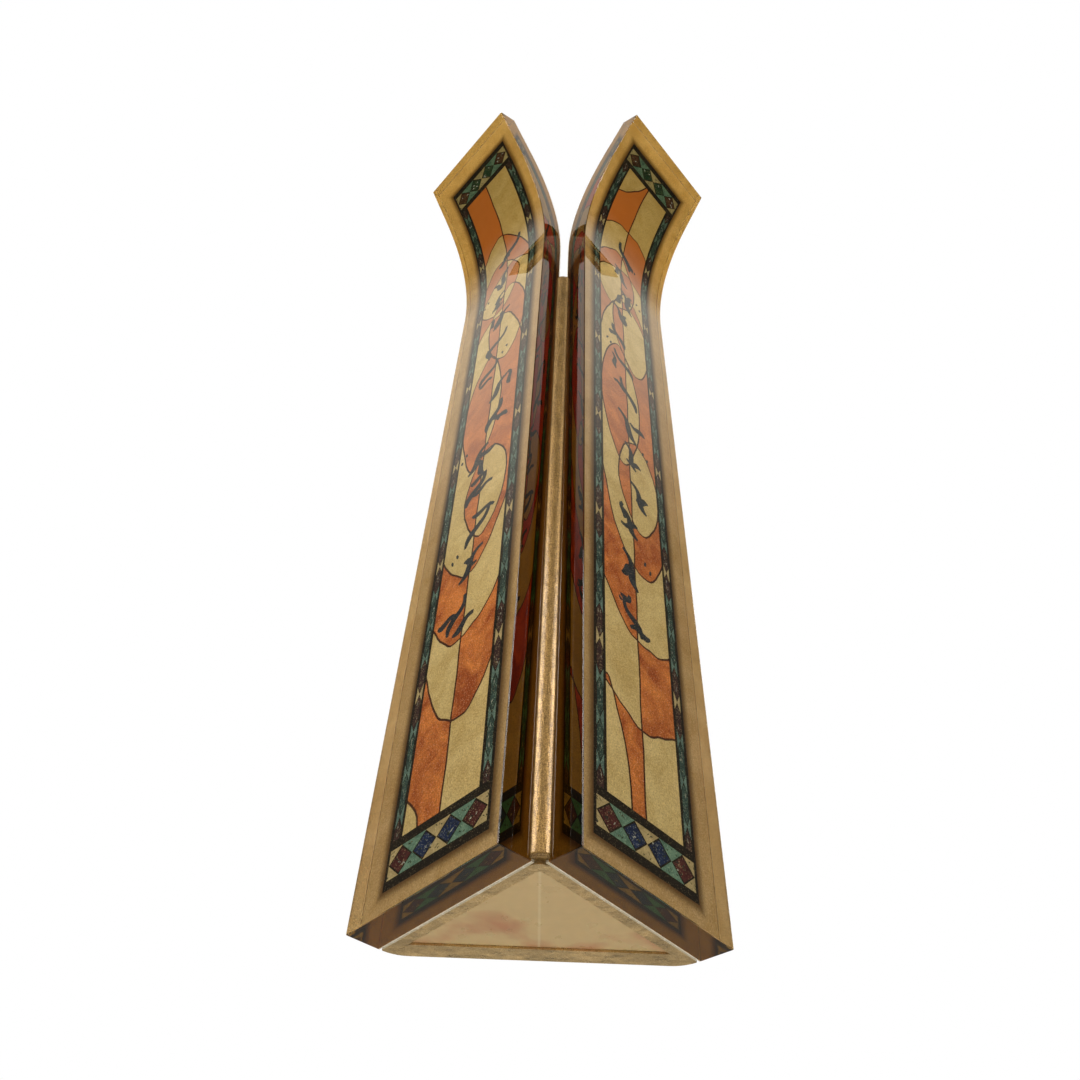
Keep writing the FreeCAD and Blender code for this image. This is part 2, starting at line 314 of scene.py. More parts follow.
def srgb(red, green, blue):
    """Linear colour from 0-255 screen values."""
    def linear(value):
        value = value / 255
        return value / 12.92 if value <= 0.04045 else ((value + 0.055) / 1.055) ** 2.4
    return linear(red), linear(green), linear(blue)


def rectangle(low, high):
    return [low, (high[0], low[1]), high, (low[0], high[1])]


def unsteady(point, seed):
    """Shifts a point a little, as a hand-drawn line wanders."""
    u, v = point
    return (u + 0.10 * math.sin(0.45 * v + seed) + 0.05 * math.sin(1.7 * v + 2 * seed),
            v + 0.35 * math.sin(0.7 * u + 1.7 * seed) + 0.12 * math.sin(1.9 * u + seed))


def oval(u, v, wide, high, lean=0.0, seed=0.0, pinch=0.0):
    """Wandering oval; pinch sharpens its ends into a petal."""
    steps = max(16, int(4 * math.sqrt(wide * high)))
    points = []
    for k in range(steps):
        angle = 2 * math.pi * k / steps
        x = wide * math.cos(angle) * (1 - pinch * math.sin(angle) ** 2)
        y = high * math.sin(angle)
        points.append(unsteady((u + x + lean * y, v + y), seed))
    return points


def ribbon(points, widths, closed=False):
    """Quads along a line, as wide at each point as widths says."""
    count = len(points)
    left, right = [], []
    for k, (u, v) in enumerate(points):
        before = points[k - 1] if k or closed else points[k]
        after = points[(k + 1) % count] if k < count - 1 or closed else points[k]
        du, dv = after[0] - before[0], after[1] - before[1]
        size = math.hypot(du, dv) or 1
        half = widths[k] / 2
        left.append((u - dv / size * half, v + du / size * half))
        right.append((u + dv / size * half, v - du / size * half))
    spans = range(count if closed else count - 1)
    quads = [[left[k], right[k], right[(k + 1) % count], left[(k + 1) % count]] for k in spans]
    return [quad for quad in quads if is_convex(quad)]


def is_convex(corners):
    turns = []
    for a, b, c in zip(corners, corners[1:] + corners[:1], corners[2:] + corners[:2]):
        turns.append((b[0] - a[0]) * (c[1] - b[1]) - (b[1] - a[1]) * (c[0] - b[0]))
    return min(turns) > 0 or max(turns) < 0


def lozenge_run(shapes, place, length, fills, gaps, shoulder, chance):
    """Row of lozenges that touch tip to tip, with triangles between them and brush flecks on the
    lozenges, and on the triangles of a wide band. A lozenge is at its full width one shoulder away
    from its tips."""
    step = length / len(fills)
    for k, tone in enumerate(gaps):
        middle = k * step
        flecks = GAP_FLECKS if shoulder > SIDE_SHOULDER else 0
        for way in (-1, 1):
            base = [(max(middle - shoulder, 0), way), (min(middle + shoulder, length), way), (middle, 0)]
            shapes.append(([place(s, h) for s, h in base], tone))
            for _ in range(flecks):
                s = min(max(middle + chance.uniform(-0.22, 0.22) * step, 0.1), length - 0.1)
                shapes.append((fleck(place, s, way * chance.uniform(0.55, 0.85), 0.24, 0.05, chance),
                               "dark_fleck"))
    for k, tone in enumerate(fills):
        middle = (k + 0.5) * step
        for rim, name in ((0, "black"), (0.16, tone)):
            tip, flat, rise = step / 2 - 2 * rim, step / 2 - shoulder, 1 - rim
            corners = [(-tip, 0), (-flat, -rise), (flat, -rise), (tip, 0), (flat, rise), (-flat, rise)]
            shapes.append(([place(middle + s, h) for s, h in corners], name))
        for _ in range(LOZENGE_FLECKS):
            s = middle + chance.uniform(-0.3, 0.3) * step
            tone = "dark_fleck" if chance.random() < 0.6 else "pale_fleck"
            reach = chance.uniform(0.03, 0.09) * step
            shapes.append((fleck(place, s, chance.uniform(-0.45, 0.45), reach, 0.07, chance), tone))


def fleck(place, s, h, reach, thin, chance):
    lift = chance.uniform(-0.12, 0.12)
    return [place(s - reach, h - lift), place(s, h - thin), place(s + reach, h + lift), place(s, h + thin)]


def border(shapes, chance):
    """Black frame with a long band of lozenges on each side and a short one across each end."""
    shapes.append((rectangle(FRAME_LOW, FRAME_HIGH), "black"))
    end_half = END_BAND / 2 - END_LINE
    side_half = SIDE_BAND / 2 - SIDE_LINE
    first = FRAME_LOW[1] + END_BAND / 2
    unit = (FRAME_HIGH[1] - FRAME_LOW[1] - END_BAND) / SIDE_UNITS
    for u in (FRAME_LOW[0] + SIDE_BAND / 2, FRAME_HIGH[0] - SIDE_BAND / 2):
        for k in range(SIDE_UNITS):
            def place(s, h, u=u, k=k):
                return u + h * side_half, first + k * unit + s
            gaps = ("cream", "slate", "slate", "slate", "cream")
            lozenge_run(shapes, place, unit, ("plum", "pine", "pine", "plum"), gaps, SIDE_SHOULDER, chance)
    across = FRAME_HIGH[0] - FRAME_LOW[0] - 2 * SIDE_LINE
    for v, fills in ((FRAME_LOW[1] + END_BAND / 2, ("maroon", "navy", "navy", "maroon")),
                     (FRAME_HIGH[1] - END_BAND / 2, ("umber", "bottle", "bottle", "umber"))):
        def place(s, h, v=v):
            return FRAME_LOW[0] + SIDE_LINE + s, v + h * end_half
        ends = (FRAME_LOW[0], v - END_BAND / 2), (FRAME_HIGH[0], v + END_BAND / 2)
        shapes.append((rectangle(*ends), "black"))
        shapes.append((rectangle(place(0, -1), place(across, 1)), "cream"))
        gaps = ("cream", "teal", "cream", "teal", "cream")
        lozenge_run(shapes, place, across, fills, gaps, across / 8, chance)


def brush_stroke(u, v, turn, length, width, bend, lift=0.8):
    """Tapered brush stroke: pressed at its start, bent in its middle and lifted at its end."""
    points, widths = [], []
    for k in range(STROKE_STEPS + 1):
        t = k / STROKE_STEPS
        s = length * (t - 0.5)
        h = bend * math.sin(2 * math.pi * t) + 0.3 * bend * math.cos(5 * t)
        points.append((u + s * math.cos(turn) - h * math.sin(turn),
                       v + s * math.sin(turn) + h * math.cos(turn)))
        widths.append(width * min(1, 0.3 + 3 * t) * (1 - lift * t ** 1.6))
    return ribbon(points, widths)


def brush_marks(shapes, low, high, count, seed):
    """Loose column of leaning brush marks up the field: a long stroke with one or two short ones
    flung across it, and a pair of dots now and then. They form no letters."""
    chance = random.Random(seed)
    for k in range(count):
        u = FIELD_MIDDLE + chance.uniform(-2.2, 2.2)
        v = low + (high - low) * (k + 0.5) / count + chance.uniform(-1.0, 1.0)
        slope = math.radians(90 + chance.uniform(22, 46))
        hand = chance.choice((-1, 1))
        strokes = [(u, v, slope, chance.uniform(7, 9.5), chance.uniform(1.7, 2.2), hand * 0.7, 0.6)]
        for _ in range(chance.choice((1, 1, 2))):
            turn = slope + chance.choice((-1, 1)) * math.radians(chance.uniform(30, 80))
            strokes.append((u + chance.uniform(-3.4, 3.4), v + chance.uniform(-3.4, 3.4), turn,
                            chance.uniform(3.4, 6.2), chance.uniform(1.4, 1.8), -hand * 0.4, 0.55))
        for stroke in strokes:
            for quad in brush_stroke(*stroke):
                shapes.append((quad, "brush"))
        if k % 3 == 1:
            for shift in (-0.6, 0.6):
                dot = oval(u + hand * 4.6 + shift, v + 4 - shift, 0.32, 0.6, 0.3)
                shapes.append((dot, "brush"))


def field(shapes, ovals, seed, swapped):
    """Two-tone field: each oval and the column towards the swapped edge swap the colours they cover."""
    shapes.append((rectangle(FIELD_LOW, FIELD_HIGH), "field"))
    count = int((FIELD_HIGH[1] - FIELD_LOW[1]) / FIELD_ROW) + 2
    rows = [FIELD_LOW[1] - 1 + FIELD_ROW * k for k in range(count)]
    middle = [unsteady((FIELD_MIDDLE, v), seed) for v in rows]
    far = FIELD_MIDDLE + swapped * (FIELD_HIGH[0] - FIELD_LOW[0])
    shapes.append((middle + [(far, rows[-1]), (far, rows[0])], "swap"))
    for quad in ribbon(middle, [CONTOUR_WIDTH] * len(middle)):
        shapes.append((quad, "contour"))
    for k, (u, v, wide, high, lean, pinch) in enumerate(ovals):
        outline = oval(u, v, wide, high, lean, seed + k, pinch)
        shapes.append((outline, "swap"))
        for quad in ribbon(outline, [CONTOUR_WIDTH] * len(outline), closed=True):
            shapes.append((quad, "contour"))


# Ovals of the field: place across and along, half width, half length, lean and pinch.
LEFT_OVALS = ((15.2, 104, 16, 78, 0.02, 0), (14.2, 104, 17, 62, -0.02, 0), (16.4, 100, 12, 43.5, 0.02, 0),
              (13.2, 77, 5.6, 12.5, 0, 0.2), (17.4, 106, 5.6, 20, 0, 0.3), (12.6, 137, 6.2, 17, 0.03, 0.3),
              (17.2, 158, 7.0, 13, 0, 0.2), (24.5, 11, 5.2, 6.5, 0, 0))
RIGHT_OVALS = ((15.5, 105, 26, 79, 0, 0), (17.0, 104, 20, 62, 0, 0), (16.6, 104, 11.5, 46, 0, 0),
               (17.2, 82, 5.8, 13, 0, 0.2), (12.8, 106, 6.0, 21, 0, 0.3), (17.6, 138, 6.4, 17, -0.03, 0.3),
               (12.4, 158, 7.4, 14, 0.05, 0.2), (5, 208, 9.5, 14.5, 0, 0), (7.1, 12, 5.0, 19, 0, 0.5))


def counter_clockwise(points):
    turn = sum(a[0] * b[1] - b[0] * a[1] for a, b in zip(points, points[1:] + points[:1]))
    return points if turn > 0 else points[::-1]


def cut_artwork(shapes, low, high):
    """Cuts the sheet along every outline, and across its bent stretch so that it bends evenly. Returns
    points, triangles and each triangle's tone."""
    points, faces, edges = [], [], []
    for outline, _ in shapes:
        start = len(points)
        points += [Vector(p) for p in counter_clockwise(list(outline))]
        faces.append(list(range(start, len(points))))
    for k in range(HEAD_CUTS):
        v = SLAB_STRAIGHT / MM + (high[1] - SLAB_STRAIGHT / MM) * k / HEAD_CUTS
        edges.append((len(points), len(points) + 1))
        points += [Vector((low[0], v)), Vector((high[0], v))]
    cut = delaunay_2d_cdt(points, edges, faces, 1, 1e-4, True)
    kept = [(face, owners) for face, owners in zip(cut[2], cut[5]) if 0 in owners]
    tones = [tone_of([shapes[k][1] for k in sorted(owners)]) for _, owners in kept]
    return cut[0], [face for face, _ in kept], tones


def tone_of(layers):
    """What shows where these layers lie over each other, from the bottom one up."""
    shown, swaps = layers[0], 0
    for layer in layers:
        if layer == "swap":
            swaps += 1
        elif layer not in ("contour", "brush"):
            shown = layer
    if shown != "field":
        return shown
    for top in ("brush", "contour"):
        if top in layers:
            return top
    return "terracotta" if swaps % 2 else "sand"


def ink(name, colour, second, patches, roughness=0.42, metal=0.0, sparkle=0.3, veil=(0.84, 0.74, 0.55)):
    """Translucent ink over pale foil, in two shades of soft wash with pigment grain and bright specks.
    The veil is the ink's own tint, which deepens along slanting light; the colours are as seen square on."""
    first, last = [[min(c / v ** 1.25, 0.95) for c, v in zip(shade, veil)] for shade in (colour, second)]
    material = new_material(name + " ink", first, roughness, Metallic=metal, Specular_IOR_Level=0.08,
                            Coat_Weight=1.0, Coat_IOR=1.0, Coat_Roughness=0.2, Coat_Tint=(*veil, 1))
    wash = remap(material, grain(material, patches, 5, 0.62, 0.8), 0.36, 0.66, 0, 1)
    shade = blend_colours(material, wash, first, last)
    fine = remap(material, grain(material, 4200, 3, 0.7), 0.3, 0.7, 1 - sparkle, 1 + sparkle)
    speckled = blend_colours(material, 1.0, shade, fine, "MULTIPLY")
    speck = remap(material, grain(material, 5400, 0), 0.66, 0.74, 0, sparkle)
    plug_in(material, blend_colours(material, speck, speckled, (0.95, 0.86, 0.62)), "Base Color")
    raise_surface(material, grain(material, 3300, 3), 0.00006)
    return material


def sheet_place(material):
    """Outputs that hold the place on the sheet, in millimetres across and along."""
    place = add_node(material, "ShaderNodeUVMap", uv_map="Sheet")
    return add_node(material, "ShaderNodeSeparateXYZ", {0: place.outputs[0]}).outputs


def colour_so_far(material):
    return material.node_tree.nodes["Principled BSDF"].inputs["Base Color"].links[0].from_socket


def shift_towards_head(material, colour, kind="MULTIPLY", most=1.0):
    """Lets an ink drift to another shade between the middle of the sheet and its head."""
    share = remap(material, sheet_place(material)[1], HEAD_FROM, HEAD_TO, 0, most)
    plug_in(material, blend_colours(material, share, colour_so_far(material), colour, kind), "Base Color")
    return material


def terracotta_ink():
    """Terracotta wash that is rosy about the middle and a clear orange at the head."""
    material = ink("terracotta", srgb(204, 124, 60), srgb(144, 70, 30), 170, metal=0.4, sparkle=0.5,
                   veil=(0.92, 0.56, 0.42))
    rosy = remap(material, sheet_place(material)[1], ROSE_FROM, ROSE_TO, 0, 0.6)
    plug_in(material, blend_colours(material, rosy, colour_so_far(material), MIDDLE_ROSE), "Base Color")
    return shift_towards_head(material, HEAD_ORANGE, "MIX", 0.85)


def gold_ink():
    """Metallic gold margin, darker in an airbrushed band beside the black frame, richer at the head."""
    material = ink("gold", srgb(180, 150, 102), srgb(164, 132, 82), 160, 0.34, metal=0.3, sparkle=0.3)
    split = sheet_place(material)
    reach = []
    for axis in (0, 1):
        middle = (FRAME_LOW[axis] + FRAME_HIGH[axis]) / 2
        half = (FRAME_HIGH[axis] - FRAME_LOW[axis]) / 2
        away = add_node(material, "ShaderNodeMath", {0: split[axis], 1: middle}, operation="SUBTRACT")
        size = add_node(material, "ShaderNodeMath", {0: away.outputs[0]}, operation="ABSOLUTE")
        past = add_node(material, "ShaderNodeMath", {0: size.outputs[0], 1: half}, operation="SUBTRACT")
        reach.append(past.outputs[0])
    gap = add_node(material, "ShaderNodeMath", {0: reach[0], 1: reach[1]}, operation="MAXIMUM").outputs[0]
    span = {"Value": gap, "From Min": 0.0, "From Max": AIRBRUSH_REACH, "To Min": 0.12, "To Max": 1.0}
    glow = add_node(material, "ShaderNodeMapRange", span, interpolation_type="SMOOTHSTEP").outputs[0]
    shaded = blend_colours(material, glow, srgb(*AIRBRUSH_BROWN), colour_so_far(material))
    plug_in(material, shaded, "Base Color")
    return shift_towards_head(material, HEAD_GOLD)


INKS = {
    "gold": gold_ink(),
    "black": ink("black", srgb(12, 8, 4), srgb(24, 18, 10), 300, 0.6, sparkle=0.1),
    "cream": ink("cream", srgb(178, 160, 112), srgb(150, 134, 92), 400, metal=0.4),
    "maroon": ink("maroon", srgb(50, 20, 20), srgb(82, 38, 36), 500, metal=0.3),
    "navy": ink("navy", srgb(16, 24, 48), srgb(30, 46, 80), 500, metal=0.3, veil=(0.7, 0.78, 0.84)),
    "teal": ink("teal", srgb(104, 134, 112), srgb(70, 100, 84), 500, metal=0.4, veil=(0.62, 0.84, 0.74)),
    "slate": ink("slate", srgb(70, 92, 84), srgb(98, 122, 108), 500, metal=0.3, veil=(0.62, 0.84, 0.74)),
    "pine": ink("pine", srgb(30, 44, 42), srgb(58, 78, 70), 500, metal=0.3, veil=(0.62, 0.84, 0.74)),
    "plum": ink("plum", srgb(38, 24, 26), srgb(66, 44, 40), 500, metal=0.3),
    "umber": ink("umber", srgb(56, 32, 20), srgb(84, 50, 30), 500, metal=0.3),
    "bottle": ink("bottle", srgb(22, 46, 30), srgb(40, 70, 48), 500, metal=0.3),
    "pale_fleck": ink("pale fleck", srgb(186, 184, 164), srgb(128, 134, 122), 500),
    "dark_fleck": ink("dark fleck", srgb(24, 34, 28), srgb(38, 46, 38), 500),
    "sand": shift_towards_head(ink("sand", srgb(204, 182, 124), srgb(184, 160, 100), 150, metal=0.4,
                                   sparkle=0.35), HEAD_SAND),
    "terracotta": terracotta_ink(),
    "contour": ink("contour", srgb(48, 24, 12), srgb(66, 34, 18), 300, 0.6, sparkle=0.1),
    "brush": ink("brush", srgb(24, 30, 36), srgb(46, 52, 58), 350, 0.6, sparkle=0.15),
}
for tone in ("cream", "teal", "slate", "pine", "plum", "umber", "bottle"):
    shift_towards_head(INKS[tone], HEAD_DUSK)


def sheet_back():
    material = new_material("sheet back", srgb(226, 220, 206), 0.7)
    shade = remap(material, grain(material, 900, 3), 0.3, 0.7, 0, 1)
    plug_in(material, blend_colours(material, shade, srgb(218, 210, 192), srgb(234, 228, 214)), "Base Color")
    raise_surface(material, grain(material, 2500, 3), 0.00002)
    return material


def draw_artwork(side, ovals, seed):
    """Draws one sheet's artwork from the margin up, and cuts it."""
    chance = random.Random(seed)
    low = (SHEET_INSET / MM, SHEET_INSET / MM)
    high = (SLAB_WIDTH / MM - low[0], SLAB_LENGTH / MM - low[1])
    shapes = [(rectangle(low, high), "gold")]
    border(shapes, chance)
    field(shapes, ovals, seed, -side)
    brush_marks(shapes, MARKS_FROM, MARKS_TO, MARKS, seed)
    return cut_artwork(shapes, low, high)


def drop_offcuts(piece):
    """Deletes points of outlines that reach past the sheet, and turns every face outwards."""
    work = bmesh.new()
    work.from_mesh(piece.data)
    offcuts = [vertex for vertex in work.verts if not vertex.link_faces]
    bmesh.ops.delete(work, geom=offcuts, context="VERTS")
    bmesh.ops.recalc_face_normals(work, faces=work.faces)
    work.to_mesh(piece.data)
    work.free()


def printed_sheet(name, side, ovals, seed):
    """Sheet with the artwork's inks in front, a plain back and rim, and its flat place as a UV map."""
    points, triangles, tones = draw_artwork(side, ovals, seed)
    names = list(INKS)
    count = len(points)
    vertices = [strip_point(side, p[0] * MM, p[1] * MM, SHEET_WETTED) for p in points]
    vertices += [strip_point(side, p[0] * MM, p[1] * MM, -SHEET_THICKNESS) for p in points]
    faces = [tuple(t) for t in triangles]
    indices = [names.index(tone) for tone in tones]
    rims = dict.fromkeys(edge for face in faces for edge in zip(face, face[1:] + face[:1]))
    open_edges = [(a, b) for a, b in rims if (b, a) not in rims]
    faces += [tuple(k + count for k in reversed(t)) for t in triangles]
    faces += [(b, a, a + count, b + count) for a, b in open_edges]
    indices += [len(names)] * (len(faces) - len(indices))
    piece = add_piece(name, vertices, faces, list(INKS.values()) + [sheet_back()], indices, smooth=False)
    flat = piece.data.uv_layers.new(name="Sheet")
    for loop in piece.data.loops:
        p = points[loop.vertex_index % count]
        flat.data[loop.index].uv = (p[0], p[1])
    drop_offcuts(piece)
    return piece


for name, side in SIDES.items():
    ovals = LEFT_OVALS if side < 0 else RIGHT_OVALS
    sheet = printed_sheet(name + "_printed_sheet", side, ovals, PRINT_SEED + side)
    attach(sheet, BODY)
    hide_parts(name + "_print")

# ---- Folded body and back plate --------------------------------------------------------------------
# Aluminium sheet folded to a triangular trough, with a rebated plate cemented across its open side.
# Both are sprayed with a champagne metallic lacquer that dries cloudy and pebbly.
FLAKES_PER_METRE = 9000.0


def flake_cells(material, scale):
    """Small cells over the piece's own space, scale of them per metre."""
    place = add_node(material, "ShaderNodeTexCoord").outputs["Object"]
    return add_node(material, "ShaderNodeTexVoronoi", {"Vector": place, "Scale": scale})


def champagne_lacquer():
    material = new_material("champagne lacquer", srgb(206, 184, 142), 0.34, Metallic=0.75, Coat_Weight=0.35,
                            Coat_Roughness=0.15)
    tint = remap(material, flake_cells(material, FLAKES_PER_METRE).outputs["Color"], 0.1, 0.9, 0, 1)
    shade = blend_colours(material, tint, srgb(212, 176, 118), srgb(242, 212, 156))
    cloud = remap(material, grain(material, 160, 5, 0.6, 0.5), 0.35, 0.65, 0.70, 1.08)
    plug_in(material, blend_colours(material, 1.0, shade, cloud, "MULTIPLY"), "Base Color")
    plug_in(material, remap(material, grain(material, 900, 3), 0.3, 0.7, 0.24, 0.5), "Roughness")
    raise_surface(material, grain(material, 700, 4, 0.55), 0.00016)
    return material


def coat_node(node, material):
    """Gives a node of the frame its finish."""
    piece = bpy.data.objects[node]
    for slot in piece.material_slots:
        slot.material = material
    if not piece.material_slots:
        piece.data.materials.append(material)


lacquer = champagne_lacquer()
for node in ("body_shell", "back_plate"):
    coat_node(node, lacquer)

# ---- End plugs -------------------------------------------------------------------------------------
# Two cast resin triangles, beige with faint rose clouds of painted glow and a pale mould seam down the
# middle.
# The top one is cemented in; the bottom one is a friction fit and pulls out to reach the scroll.
SEAM_CORE = 0.00006
SEAM_EDGE = 0.00022


def cast_resin():
    material = new_material("cast resin", srgb(182, 160, 124), 0.32, Subsurface_Weight=0.08,
                            Subsurface_Scale=0.002, Coat_Weight=0.25, Coat_Roughness=0.2)
    # The rose clouds are painted glow: rosy light seen in the plug's face, put into its colour.
    cloud = remap(material, grain(material, 95, 3, 0.5, 0.4), 0.52, 0.66, 0, 1)
    resin_with_painted_glow = blend_colours(material, cloud, srgb(206, 178, 128), srgb(188, 136, 98))
    place = add_node(material, "ShaderNodeTexCoord").outputs["Object"]
    across = add_node(material, "ShaderNodeSeparateXYZ", {0: place}).outputs[0]
    away = add_node(material, "ShaderNodeMath", {0: across}, operation="ABSOLUTE").outputs[0]
    seam = remap(material, away, SEAM_CORE, SEAM_EDGE, 0.5, 0.0)
    resin_with_painted_glow = blend_colours(material, seam, resin_with_painted_glow, srgb(228, 208, 166))
    mottle = remap(material, grain(material, 700, 4), 0.3, 0.7, 0.96, 1.03)
    plug_in(material, blend_colours(material, 1.0, resin_with_painted_glow, mottle, "MULTIPLY"), "Base Color")
    plug_in(material, remap(material, grain(material, 350, 3), 0.3, 0.7, 0.24, 0.44), "Roughness")
    raise_surface(material, grain(material, 260, 3), 0.00006)
    return material


resin = cast_resin()
for node in ("top_plug", "bottom_plug"):
    coat_node(node, resin)

# ---- Ridge bead ------------------------------------------------------------------------------------
# Gold relief paste run down the groove between the slabs, set with glitter. It crowns along its middle
# and is slightly lumpy, as a hand-laid line is.
BEAD_STATIONS = 240
BEAD_SPAN = 12
BEAD_LUMP = 0.00002
BEAD_RISE = 0.0004
HEEL_SHARE = 0.8
HEEL_GAP = 0.0003


def relief_paste():
    material = new_material("gold relief paste", srgb(150, 118, 62), 0.34, Metallic=0.55, Coat_Weight=0.35,
                            Coat_Roughness=0.12)
    tint = remap(material, flake_cells(material, FLAKES_PER_METRE).outputs["Color"], 0.1, 0.95, 0, 1)
    shade = blend_colours(material, tint, srgb(94, 64, 22), srgb(178, 142, 78))
    streak = remap(material, grain(material, 900, 3, 0.6, 0, (1, 1, 0.1)), 0.3, 0.7, 0.72, 1.1)
    plug_in(material, blend_colours(material, 1.0, shade, streak, "MULTIPLY"), "Base Color")
    wear = grain(material, 1800, 3, 0.5, 0, (1, 1, 0.2))
    plug_in(material, remap(material, wear, 0.35, 0.7, 0.30, 0.52), "Roughness")
    raise_surface(material, grain(material, 2600, 4, 0.6, 0, (1, 1, 0.3)), 0.00007)
    return material


def ridge_bead():
    """Half-round bead between the two slabs' ridge edges, closed behind by its flat heel."""
    (_, crown, low_z), (half, heel, high_z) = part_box("ridge_bead")
    edge_y = crown + BEAD_RISE
    vertices, faces = [], []
    for r in range(BEAD_STATIONS):
        z = low_z + (high_z - low_z) * r / (BEAD_STATIONS - 1)
        for k in range(BEAD_SPAN + 1):
            angle = math.pi * k / BEAD_SPAN
            lump = BEAD_LUMP * (math.sin(2900 * z + k) + math.sin(1730 * z + 2.1 * k)) * math.sin(angle)
            front = edge_y + (crown - edge_y) * math.sin(angle) + BEAD_LUMP * 2 + lump
            vertices.append(Vector((-half * math.cos(angle), front, z)))
        for way in (1, -1):
            vertices.append(Vector((way * half * HEEL_SHARE, heel - HEEL_GAP, z)))
    ring = BEAD_SPAN + 3
    for r in range(BEAD_STATIONS - 1):
        for k in range(ring):
            a, b = r * ring + k, r * ring + (k + 1) % ring
            faces.append((a, b, b + ring, a + ring))
    faces.append(tuple(range(ring)))
    faces.append(tuple(range((BEAD_STATIONS - 1) * ring, BEAD_STATIONS * ring)))
    piece = add_piece("gold_ridge_bead", vertices, faces, [relief_paste()])
    tidy_surface(piece)
    return piece


bead = ridge_bead()
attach(bead, BODY)
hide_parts("ridge_bead")

# ---- Bond films ------------------------------------------------------------------------------------
# Adhesive transfer film between each print and the body: milky, slightly tacky, with trapped bubbles.
# It is pressed onto the slope first, and the slab with its print is rolled down onto it.
def transfer_film():
    material = new_material("transfer film", srgb(214, 204, 180), 0.3, Coat_Weight=0.3, Coat_Roughness=0.1)
    bubbles = remap(material, grain(material, 1400, 3), 0.55, 0.7, 0, 1)
    tint = blend_colours(material, bubbles, srgb(206, 194, 166), srgb(238, 232, 216))
    plug_in(material, tint, "Base Color")
    raise_surface(material, grain(material, 1400, 3), 0.00005)
    return material


film = transfer_film()
for node in ("left_bond_film", "right_bond_film"):
    coat_node(node, film)

# ---- Mounting tape ---------------------------------------------------------------------------------
# One pad of white closed-cell foam tape, die cut with round corners, stuck to the flat back plate. Its
# other face holds the case to a door frame.
def foam_tape():
    material = new_material("foam tape", srgb(236, 236, 232), 0.75)
    pit_depth_and_shade = remap(material, flake_cells(material, 2600.0).outputs["Distance"], 0.1, 0.7, 0, 1)
    # The pits come out darker: painted shade in the hollows of the foam cells, from the same values that
    # raise the cell walls.
    plug_in(material, blend_colours(material, pit_depth_and_shade, srgb(206, 206, 200), srgb(244, 244, 240)), "Base Color")
    raise_surface(material, pit_depth_and_shade, 0.0001)
    return material


coat_node("mounting_tape", foam_tape())

# ---- Scroll ----------------------------------------------------------------------------------------
# A blank parchment rolled to three and a half turns inside a waxed paper sleeve. Both lie loose in the
# body's chamber, just above the bottom plug.
def parchment():
    material = new_material("parchment", srgb(224, 204, 160), 0.62, Sheen_Weight=0.2)
    follicle = remap(material, grain(material, 1600, 4, 0.6), 0.35, 0.7, 0, 1)
    shade = blend_colours(material, follicle, srgb(206, 182, 134), srgb(234, 216, 176))
    cloud = remap(material, grain(material, 60, 4), 0.35, 0.65, 0.85, 1.05)
    plug_in(material, blend_colours(material, 1.0, shade, cloud, "MULTIPLY"), "Base Color")
    raise_surface(material, grain(material, 1500, 4), 0.00005)
    return material


def waxed_paper():
    material = new_material("waxed paper", srgb(232, 222, 196), 0.38, Coat_Weight=0.3, Coat_Roughness=0.25)
    fibre = remap(material, grain(material, 500, 5, 0.6, 0.8, (1, 1, 0.3)), 0.35, 0.65, 0, 1)
    plug_in(material, blend_colours(material, fibre, srgb(220, 206, 172), srgb(242, 236, 218)), "Base Color")
    raise_surface(material, fibre, 0.00003)
    return material


coat_node("scroll_parchment", parchment())
coat_node("scroll_sleeve", waxed_paper())

# ---- Camera, light and floor -----------------------------------------------------------------------
# The case hangs well above a pale floor. The camera stands below its bottom end and looks up along it.
# The room glows overhead and fades towards the front, but the camera sees it as plain white. Each glow
# is an axis, the two slopes along it between which the glow rises, and its strength at each.
FLOOR_DROP = 0.90
FLOOR_REACH = 2.5
SKY_COLOUR = (1.0, 0.95, 0.84)
SKY_SLANT = (-0.03, 0, 1)
OVERHEAD_GLOW = (SKY_SLANT, 0.72, 0.88, 0.08, 0.75)
DEPTH_GLOW = ((0, 1, 0), -0.20, -0.06, 0.12, 1.0)
floor_material = new_material("floor paint", (0.82, 0.82, 0.81), 0.6)
floor_shade = remap(floor_material, grain(floor_material, 60, 3), 0.3, 0.7, 0, 1)
plug_in(floor_material, blend_colours(floor_material, floor_shade, (0.80, 0.80, 0.79), (0.84, 0.84, 0.83)),
        "Base Color")
level = cad_box[0][2] - FLOOR_DROP
corners = [(-FLOOR_REACH, -FLOOR_REACH, level), (FLOOR_REACH, -FLOOR_REACH, level),
           (FLOOR_REACH, FLOOR_REACH, level), (-FLOOR_REACH, FLOOR_REACH, level)]
floor = add_piece("floor", corners, [(0, 1, 2, 3)], [floor_material], smooth=False)

